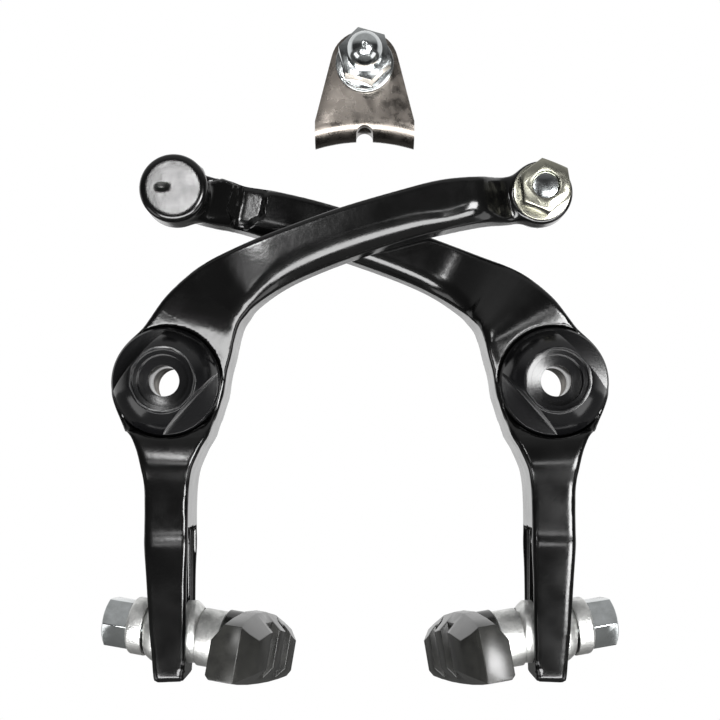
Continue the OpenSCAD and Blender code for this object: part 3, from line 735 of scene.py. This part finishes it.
def thread_ridges(group, name, count, pitch, radius, ridge, mat):
    """A mesh of thread ridges from the node group; sizes in millimetres."""
    obj = link_mesh(name, [], [])
    mod = obj.modifiers.new("ridges", "NODES")
    mod.node_group = group
    values = {"Count": count, "Pitch": pitch * MM, "Radius": radius * MM,
              "Ridge": ridge * MM, "Material": mat}
    for item in group.interface.items_tree:
        if item.in_out == "INPUT":
            mod[item.identifier] = values[item.name]
    apply_all(obj)
    return obj


class StudSizes(bpy.types.PropertyGroup):
    """Sizes of the threaded pad studs."""

    radius: bpy.props.FloatProperty(
        name="Radius", description="Outer radius of the thread, in mm", default=3.0)
    pitch: bpy.props.FloatProperty(
        name="Pitch", description="Distance between thread ridges, in mm", default=1.0)
    outer_end: bpy.props.FloatProperty(
        name="Outer end", description="Stud end from the ball centre, in mm", default=14.1)
    pad_back: bpy.props.FloatProperty(
        name="Pad back", description="Back of the pad from the ball centre", default=12.0)
    head_in: bpy.props.FloatProperty(
        name="Head depth", description="Rubber behind the head, in mm", default=1.4)
    head_t: bpy.props.FloatProperty(
        name="Head thickness", description="Thickness of the head, in mm", default=1.8)
    head_r: bpy.props.FloatProperty(
        name="Head radius", description="Radius of the head, in mm", default=5.0)


# Thread depth, radius of one ridge, how far ridges stand off the core and the bare
# length at the outer end, in millimetres
THREAD_DEPTH, RIDGE_R, RIDGE_OUT, BARE_END = 0.36, 0.32, 0.04, 0.8


def build_stud(node, group, s, way):
    """A threaded stud on its swivel axis, its round head inside the rubber."""
    core = s.radius - THREAD_DEPTH
    head = s.pad_back + s.head_in
    profile = [(0, -s.outer_end), (core - 0.3, -s.outer_end), (core, 0.3 - s.outer_end),
               (core, s.pad_back - 0.4), (s.radius, s.pad_back - 0.4), (s.radius, head),
               (s.head_r, head), (s.head_r, head + s.head_t), (0, head + s.head_t)]
    verts, faces = lathe_rows(profile)
    obj = link_mesh(node + "_thread", [[c * MM for c in v] for v in verts], faces)
    mat = finish(slot_of_node(node))
    count = int((s.outer_end + s.pad_back - 1.2) / s.pitch)
    ridges = thread_ridges(group, node + "_ridges", count, s.pitch, core + RIDGE_OUT,
                           RIDGE_R, mat)
    work = bmesh.new()
    work.from_mesh(ridges.data)
    bmesh.ops.translate(work, verts=work.verts, vec=(0, 0, (BARE_END - s.outer_end) * MM))
    work.from_mesh(obj.data)
    bmesh.ops.remove_doubles(work, verts=work.verts, dist=0.00001)
    bmesh.ops.recalc_face_normals(work, faces=work.faces)
    axis = Vector((way * STUD_AXIS.x, STUD_AXIS.y, STUD_AXIS.z))
    place = Matrix.Translation(Vector((way * BALL.x, BALL.y, BALL.z)) * MM)
    turn = axis.to_track_quat("Z", "Y").to_matrix().to_4x4()
    bmesh.ops.transform(work, matrix=place @ turn, verts=work.verts)
    work.to_mesh(obj.data)
    work.free()
    bpy.data.objects.remove(ridges)
    shade(obj)
    obj.data.set_sharp_from_angle(angle=math.radians(40))
    adopt(obj, node)


class UBRAKE_OT_studs(bpy.types.Operator):
    """Builds the threaded studs of the pads."""

    bl_idname = "ubrake.studs"
    bl_label = "Pad studs"

    def execute(self, context):
        group = ridge_group()
        build_stud("left_pad_stud", group, context.scene.ubrake_studs, 1)
        build_stud("right_pad_stud", group, context.scene.ubrake_studs, -1)
        return {"FINISHED"}


# Pieces that keep their CAD mesh
PLAIN_NODES = [
    "front_arm_bush", "rear_arm_bush", "front_return_spring", "rear_return_spring",
]

# Radius of the rounded edges of each piece in millimetres
EDGES = {
    "left_tension_nut": 0.25, "right_tension_nut": 0.25, "anchor_bolt": 0.35,
    "anchor_clamp_washer": 0.12, "anchor_front_washer": 0.15, "anchor_nut": 0.12,
    "hanger_plate": 0.3, "hanger_bolt": 0.3, "hanger_washer": 0.15, "hanger_nut": 0.15,
}
SIDE_EDGES = {
    "pad": 0.5, "pad_nut": 0.15, "inner_dome_washer": 0.15,
    "inner_cup_washer": 0.2, "outer_dome_washer": 0.15, "outer_cup_washer": 0.2,
}
for side in ("left", "right"):
    for piece, width in SIDE_EDGES.items():
        EDGES[side + "_" + piece] = width


class UBRAKE_OT_small_parts(bpy.types.Operator):
    """Rounds the edges of the small pieces and gives them their finishes."""

    bl_idname = "ubrake.small_parts"
    bl_label = "Small parts"

    def execute(self, context):
        for node in PLAIN_NODES:
            dress(node)
        for node, width in EDGES.items():
            softened(node, width)
        return {"FINISHED"}


class StageSizes(bpy.types.PropertyGroup):
    """Camera, lamps and floor."""

    lens: bpy.props.FloatProperty(
        name="Lens", description="Focal length on a 36 mm sensor", default=66.1)
    camera_y: bpy.props.FloatProperty(
        name="Camera distance", description="Camera in front of the frame plane, in mm",
        default=296.7)
    camera_z: bpy.props.FloatProperty(
        name="Camera height", description="Camera above the pivots, in mm", default=-19.9)
    pitch: bpy.props.FloatProperty(
        name="Pitch", description="Upward tilt of the camera, in degrees", default=1.25)
    shift_y: bpy.props.FloatProperty(
        name="Shift", description="Vertical lens shift for the framing", default=0.121)
    floor_z: bpy.props.FloatProperty(
        name="Floor", description="Floor below the pivots, in mm", default=-800.0)


def soft_lamp(name, azimuth, elevation, distance, width, height, radiance):
    """A soft lamp aimed at the brake from a bearing in degrees, 0, 0 being the
    camera's side; sizes are the degrees that it spans seen from the brake."""
    az, el = math.radians(azimuth), math.radians(elevation)
    place = distance * Vector((math.sin(az) * math.cos(el), -math.cos(az) * math.cos(el),
                               math.sin(el)))
    light = bpy.data.lights.new(name, "AREA")
    light.shape = "RECTANGLE"
    light.size = 2 * distance * math.tan(math.radians(width / 2))
    light.size_y = 2 * distance * math.tan(math.radians(height / 2))
    light.energy = radiance * math.pi * light.size * light.size_y
    obj = bpy.data.objects.new(name, light)
    obj.location = place
    obj.rotation_euler = (-place).to_track_quat("-Z", "Y").to_euler()
    bpy.context.scene.collection.objects.link(obj)


def maths(tree, operation, first, second):
    """A maths node on two sockets."""
    made = add_node(tree, "ShaderNodeMath", operation=operation)
    for i, value in enumerate((first, second)):
        tree.links.new(value, made.inputs[i])
    return made.outputs[0]


def build_world():
    """A white sweep behind the brake, and a dim room in front of it."""
    world = bpy.data.worlds.new("studio")
    bpy.context.scene.world = world
    world.use_nodes = True
    tree = world.node_tree
    tree.nodes.clear()
    coords = add_node(tree, "ShaderNodeTexCoord").outputs["Generated"]
    split = add_node(tree, "ShaderNodeSeparateXYZ", [("Vector", coords)])
    behind = ramp(tree, split.outputs["Y"], 0.04, 1.0, -0.1, 0.25)
    above = ramp(tree, split.outputs["Z"], 0.0, 0.5, 0.3, 0.7)
    room = maths(tree, "MAXIMUM", behind, above)
    path = add_node(tree, "ShaderNodeLightPath")
    level = maths(tree, "MAXIMUM", room, path.outputs["Is Camera Ray"])
    glow = add_node(tree, "ShaderNodeBackground", [("Strength", level)],
                    Color=(1, 1, 1, 1))
    out = add_node(tree, "ShaderNodeOutputWorld")
    tree.links.new(glow.outputs[0], out.inputs["Surface"])


def build_floor(z):
    """A plain pale floor far below, white to the lens."""
    half = 6.0
    floor = link_mesh("floor", [(-half, -half, z), (half, -half, z),
                                (half, half, z), (-half, half, z)], [(0, 1, 2, 3)])
    mat, tree, bsdf = new_material("pale_floor", Roughness=0.9,
                                   Base_Color=hex_linear("5c5c5b"))
    glow = add_node(tree, "ShaderNodeEmission", Color=(1, 1, 1, 1), Strength=1.0)
    path = add_node(tree, "ShaderNodeLightPath")
    both = add_node(tree, "ShaderNodeMixShader", [(0, path.outputs["Is Camera Ray"]),
                                                  (1, bsdf.outputs[0]),
                                                  (2, glow.outputs[0])])
    tree.links.new(both.outputs[0], tree.nodes["Material Output"].inputs["Surface"])
    floor.data.materials.append(mat)


# Lamps: name, bearing, elevation, distance in metres, width and height in degrees,
# radiance
LAMPS = [
    ("left_card", -9, 13, 1.3, 4, 5, 34),
    ("left_wing", -9, 3.5, 1.3, 7, 4, 6),
    ("right_wing", 9, 3.5, 1.3, 7, 4, 6),
    ("right_box", 27, -3, 1.1, 18, 18, 24),
    ("low_box", 0, -34, 0.9, 60, 22, 14),
    ("left_low", -75, -35, 1.0, 30, 30, 2),
    ("right_low", 75, -35, 1.0, 30, 30, 2),
]


class UBRAKE_OT_stage(bpy.types.Operator):
    """Sets the camera, lamps, world and floor."""

    bl_idname = "ubrake.stage"
    bl_label = "Stage"

    def execute(self, context):
        s = context.scene.ubrake_stage
        camera = bpy.data.cameras.new("camera")
        camera.lens, camera.sensor_width, camera.shift_y = s.lens, 36.0, s.shift_y
        camera.clip_start, camera.clip_end = 0.01, 20
        obj = bpy.data.objects.new("camera", camera)
        obj.location = (0, -s.camera_y * MM, s.camera_z * MM)
        obj.rotation_euler = (math.radians(90 + s.pitch), 0, 0)
        context.scene.collection.objects.link(obj)
        context.scene.camera = obj
        context.scene.view_settings.view_transform = "Standard"
        build_world()
        build_floor(s.floor_z * MM)
        for lamp in LAMPS:
            soft_lamp(*lamp)
        return {"FINISHED"}


class UBRAKE_PT_panel(bpy.types.Panel):
    """Sizes and build steps of the brake."""

    bl_idname = "UBRAKE_PT_panel"
    bl_label = "U-brake"
    bl_space_type = "VIEW_3D"
    bl_region_type = "UI"
    bl_category = "U-brake"

    def draw(self, context):
        for group, name in GROUPS.items():
            box = self.layout.box()
            sizes = getattr(context.scene, name)
            for key in group.__annotations__:
                box.prop(sizes, key)
        for step in STEPS:
            self.layout.operator(step.bl_idname)


GROUPS = {ArmSizes: "ubrake_arms", StudSizes: "ubrake_studs", StageSizes: "ubrake_stage"}
STEPS = [UBRAKE_OT_stage, UBRAKE_OT_arms, UBRAKE_OT_studs, UBRAKE_OT_small_parts]


def register():
    for group, name in GROUPS.items():
        bpy.utils.register_class(group)
        setattr(bpy.types.Scene, name, bpy.props.PointerProperty(type=group))
    for step in STEPS:
        bpy.utils.register_class(step)
    bpy.utils.register_class(UBRAKE_PT_panel)


def unregister():
    bpy.utils.unregister_class(UBRAKE_PT_panel)
    for step in reversed(STEPS):
        bpy.utils.unregister_class(step)
    for group, name in GROUPS.items():
        delattr(bpy.types.Scene, name)
        bpy.utils.unregister_class(group)


def main():
    register()
    for step in STEPS:
        family, name = step.bl_idname.split(".")
        getattr(getattr(bpy.ops, family), name)()


if __name__ == "__main__":
    main()
